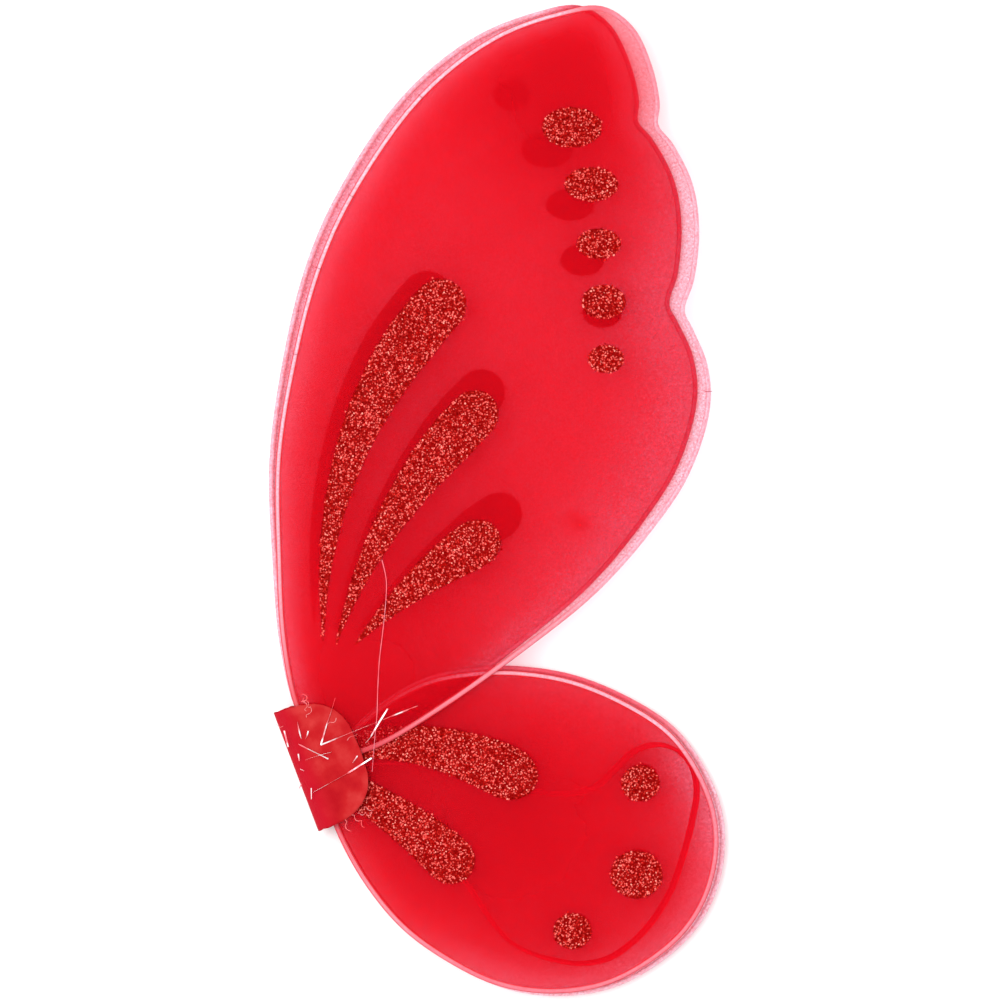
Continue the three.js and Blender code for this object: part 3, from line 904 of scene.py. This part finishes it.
# ---- tinsel strands, stray fibres and a string of glue ----
# Each strand: points as x, y, height over the patch and the strip's lean in degrees.
tinsel = {
    "width": 0.7, "thickness": 0.05, "step": 0.8, "sink": 0.25,
    "strands": [
        [(2.3, 21.6, 0.4, 5), (1.3, 13.4, 0.3, 20)],
        [(10, 23.5, 0.5, 80), (9.3, 19, 0.6, 30), (8.8, 14.8, 0.4, 75)],
        [(13.5, 17.3, 0.6, 20), (12.4, 15.7, 0.6, 40), (10.7, 14.1, 0.4, 85)],
        [(32, 28, 0.9, 86), (27, 21.6, 0.8, 84), (24, 18, 0.8, 50), (16.9, 8.6, 0.35, 10)],
        [(16.9, 8.6, 0.35, 10), (22, 8.7, 0.5, 30), (29, 8.9, 0.7, 70), (36, 9.1, 0.8, 88),
         (52, 9.4, 0.85, 85), (56, 9.5, 0.85, 30), (62, 9.6, 0.85, 25), (65, 9.7, 0.85, 84),
         (68.9, 9.7, 0.85, 88)],
        [(54.4, 13.6, 1.0, 15), (49, 9.5, 0.95, 15), (43.7, 5.3, 0.9, 20), (41, 3.2, 0.9, 80),
         (38, 1.6, 0.9, 86)],
        [(6.5, 13, 0.6, 80), (8.2, 11.2, 0.6, 25), (12, 7, 0.45, 60), (17.9, 0.7, 0.4, 35)],
        [(7, 4.3, 0.4, 85), (14, 4.0, 0.5, 80), (20.6, 3.4, 0.4, 86)],
        [(4.8, 8.4, 0.4, 25), (4, 4.9, 0.35, 60)],
        [(3, 1, 0.4, 60), (4.6, -0.7, 0.35, 80)],
        [(32, -3, 0.7, 20), (28.4, -5.4, 0.4, 75)],
        [(38.2, -6.5, 0.9, 10), (26, -9, 0.8, 15), (23, -9.5, 0.7, 80), (5, -12.1, 0.4, 84)],
        [(4.8, -9.8, 0.4, 50), (2.9, -15, 0.35, 70)],
        [(0.9, -6.2, 0.4, 40), (-0.9, -8, 0.3, 60)],
    ],
}


# A flat strip along every line, turned about its length by its lean.
def strandTree():
    tree, given = newTree("strand", {"Width": "Float", "Thickness": "Float", "Step": "Float",
                                     "Finish": "Material"})
    curve = geometryNode(tree, "MeshToCurve", {"Mesh": given["Geometry"]})
    even = geometryNode(tree, "ResampleCurve", {"Curve": curve, "Length": given["Step"]}, mode="LENGTH")
    upright = geometryNode(tree, "SetCurveNormal", {"Curve": even}, mode="Z_UP")
    leaned = geometryNode(tree, "SetCurveTilt", {"Curve": upright, "Tilt": numberAt(tree, "lean")})
    strip = geometryNode(tree, "CurvePrimitiveQuadrilateral", {"Width": given["Width"],
                                                                "Height": given["Thickness"]})
    solid = geometryNode(tree, "CurveToMesh", {"Curve": leaned, "Profile Curve": strip, "Fill Caps": True})
    flat = geometryNode(tree, "SetShadeSmooth", {"Geometry": solid, "Shade Smooth": False})
    return endTree(tree, flat, given["Finish"])


strandGrowth = strandTree()


# Points and edges for a tree to grow on, with numbers for each point.
def seedMesh(name, points, edges, numbers):
    mesh = bpy.data.meshes.new(name)
    mesh.from_pydata([tuple(p) for p in points], edges, [])
    source = linked(name, mesh)
    for label, values in numbers.items():
        addNumbers(source, label, values)
    return source


# Strands along lines, one lean in degrees for each point.
def strandPiece(name, lines, leans, look, finish):
    points = np.vstack(lines)
    starts = np.cumsum([0] + [len(line) for line in lines])
    edges = [(i, i + 1) for first, last in zip(starts, starts[1:]) for i in range(first, last - 1)]
    source = seedMesh(f"{name}_lines", points, edges, {"lean": np.radians(leans)})
    return grown(name, source, strandGrowth, {
        "Width": look["width"] * mm, "Thickness": look["thickness"] * mm, "Step": look["step"] * mm,
        "Finish": finish,
    })


def addTinsel():
    low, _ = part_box("tinsel_tuft")
    fine = [smoothLine(strand, 5) for strand in tinsel["strands"]]
    lines = [placed(line[:, :2], low.z + (line[:, 2] - tinsel["sink"]) * mm) for line in fine]
    piece = strandPiece("tinsel_strands", lines, np.concatenate([line[:, 3] for line in fine]), tinsel, foil)
    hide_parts("tinsel_tuft")
    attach(piece, "near_hub")


# Fine fibres that curl out from under the patch's edge: start, heading in degrees, length, loops, loop size.
fibres = {
    "width": 0.16, "thickness": 0.16, "step": 0.3, "rise": (0.25, 0.6),
    "curls": [
        (16, 27, 75, 9, 2.2, 1.3), (18.5, 28, 110, 7, 1.6, 1.5), (15, 24, 40, 6, 1.2, 1.0),
        (24, 17, 10, 5, 1.1, 0.9), (30, 6, 20, 6, 0.8, 0.8), (19, -29.5, -60, 9, 1.9, 1.2),
        (22, -30, -20, 8, 2.4, 1.2), (15, -30.5, -95, 7, 1.3, 1.1), (26, -28, -40, 6, 1.4, 0.9),
        (2.5, 24, 160, 4, 0.7, 0.9),
    ],
}


def curlLine(x, y, heading, length, loops, size, steps=46):
    turn = math.radians(heading)
    along = np.array([math.cos(turn), math.sin(turn)])
    across = np.array([-math.sin(turn), math.cos(turn)])
    t = np.arange(steps + 1)[:, None] / steps
    angle, swing = 2 * math.pi * loops * t, size * (0.4 + 0.6 * t)
    forward = length * t + swing * (np.cos(angle) - 1) * 0.5
    return np.array([x, y]) + along * forward + across * swing * np.sin(angle)


def addFibres():
    _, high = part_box("outer_patch_near")
    lines = []
    for curl in fibres["curls"]:
        flat = curlLine(*curl)
        rise = np.linspace(*fibres["rise"], len(flat)) + 0.1 * np.sin(np.arange(len(flat)) * 0.9)
        lines.append(placed(flat, high.z + rise * mm))
    piece = strandPiece("stray_fibres", lines, np.zeros(sum(map(len, lines))), fibres, fluff)
    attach(piece, "near_hub")


glueString = {
    "width": 0.24, "thickness": 0.24, "step": 1.5,
    "route": [(78, 84), (76.5, 74), (72, 63), (66, 51), (59, 37.5), (53, 24), (48, 12), (42.6, 1), (36, -13)],
}


def addGlueString():
    _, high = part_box("near_upper_sleeve")
    line = placed(smoothLine(glueString["route"], 5), high.z + glueString["thickness"] * mm / 2)
    piece = strandPiece("glue_string", [line], np.zeros(len(line)), glueString, glueHair)
    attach(piece, "near_upper_wing")


# ---- thread: rings tied round a wire, and stitches along a seam ----
stitching = {
    "thick": 0.3, "ring": 1.68, "long": 1.9,
    "ties": [(177.8, 294), (125.7, 258.2), (99.8, 230.6), (73.9, 194.9), (262.2, 104.8)],
    "seam": [(127, -157), (150, -147)], "seamStep": 5.2, "seamInset": 4.5, "seamWander": 0.9,
    "seamDepth": 0.5,
}


# A thread ring, or a short straight stitch, at every point, turned to the point's own angle.
def threadTree():
    tree, given = newTree("thread", {"Ring": "Float", "Long": "Float", "Thick": "Float",
                                     "Finish": "Material"})
    circle = geometryNode(tree, "CurvePrimitiveCircle", {"Resolution": 12, "Radius": given["Ring"]})
    upright = geometryNode(tree, "Transform", {"Geometry": circle, "Rotation": (0, math.pi / 2, 0)})
    half = mathNode(tree, "MULTIPLY", given["Long"], 0.5)
    back = mathNode(tree, "MULTIPLY", half, -1.0)
    start, end = (node(tree, "ShaderNodeCombineXYZ", {"X": x}).outputs[0] for x in (back, half))
    straight = geometryNode(tree, "CurvePrimitiveLine", {"Start": start, "End": end})
    yarn = geometryNode(tree, "CurvePrimitiveCircle", {
        "Resolution": 6, "Radius": mathNode(tree, "MULTIPLY", given["Thick"], 0.5),
    })
    turned = node(tree, "ShaderNodeCombineXYZ", {"Z": numberAt(tree, "turn")}).outputs[0]
    tie = numberAt(tree, "tie")
    joined = node(tree, "GeometryNodeJoinGeometry")
    for shape, chosen in ((upright, tie), (straight, mathNode(tree, "SUBTRACT", 1.0, tie))):
        solid = geometryNode(tree, "CurveToMesh", {"Curve": shape, "Profile Curve": yarn, "Fill Caps": True})
        only = node(tree, "FunctionNodeCompare", {"A": chosen, "B": 0.5}, operation="GREATER_THAN")
        copies = geometryNode(tree, "InstanceOnPoints", {
            "Points": given["Geometry"], "Selection": only.outputs[0], "Instance": solid,
            "Rotation": turned,
        })
        tree.links.new(copies, joined.inputs[0])
    return endTree(tree, joined.outputs[0], given["Finish"])


threadGrowth = threadTree()


def addThread(name, wingName, points, headingsAt, ties, height):
    turns = np.arctan2(headingsAt[:, 1], headingsAt[:, 0])
    source = seedMesh(f"{name}_points", placed(points, height), [], {"turn": turns, "tie": ties})
    piece = grown(name, source, threadGrowth, {
        "Ring": stitching["ring"] * mm, "Long": stitching["long"] * mm, "Thick": stitching["thick"] * mm,
        "Finish": thread,
    })
    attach(piece, f"{wingName}_wing")


def nearestPoints(line, marks):
    return [int(np.argmin(np.linalg.norm(line - np.array(mark), axis=1))) for mark in marks]


def addStitching():
    line = wireLine(wings["near_upper"])
    along, _ = headings(line)
    tied = nearestPoints(line, stitching["ties"])
    low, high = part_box("near_upper_wire")
    addThread("wire_ties", "near_upper", line[tied], along[tied], np.ones(len(tied)), (low.z + high.z) / 2)
    line = wireLine(wings["near_lower"])
    along, left = headings(line)
    first, last = sorted(nearestPoints(line, stitching["seam"]))
    run = line[first:last + 1] - left[first:last + 1] * stitching["seamInset"]
    length = np.append(0, np.cumsum(np.linalg.norm(np.diff(run, axis=0), axis=1)))
    count = int(length[-1] / stitching["seamStep"]) + 1
    at = np.linspace(0, length[-1], count) + stitching["seamWander"] * np.sin(np.arange(count) * 2.3)
    points, ways = (np.column_stack([np.interp(at, length, rows[:, k]) for k in range(2)])
                    for rows in (run, along[first:last + 1]))
    _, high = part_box("near_lower_sleeve")
    addThread("seam_stitches", "near_lower", points, ways, np.zeros(count),
              high.z - stitching["seamDepth"] * mm)


addStitching()
addTinsel()
addFibres()
addGlueString()
print("strands stuck on")


# ---- floor and light ----
studio = {"floorDrop": 0.3, "sky": 1.10, "lampPower": 18, "lampSize": 1.0, "lampPlace": (-0.35, 0.45, 1.6)}


def addStudio():
    size = 3
    corners = [(-size, -size), (size, -size), (size, size), (-size, size)]
    z = -studio["floorDrop"] * mm
    floor = addMesh("floor", [(x, y, z) for x, y in corners], [(0, 1, 2, 3)], [floorMaterial()])
    lamp = bpy.data.lights.new("softbox", "AREA")
    lamp.energy = studio["lampPower"]
    lamp.size = studio["lampSize"]
    holder = linked("softbox", lamp)
    holder.location = studio["lampPlace"]
    holder.rotation_euler = (-holder.location).to_track_quat("-Z", "Y").to_euler()
    world = bpy.data.worlds.new("studio")
    world.use_nodes = True
    world.node_tree.nodes["Background"].inputs["Color"].default_value = (1, 1, 1, 1)
    world.node_tree.nodes["Background"].inputs["Strength"].default_value = studio["sky"]
    scene = bpy.context.scene
    scene.world = world
    scene.view_settings.view_transform = "Standard"
    scene.cycles.transparent_max_bounces = 48


addStudio()
print("studio lit")
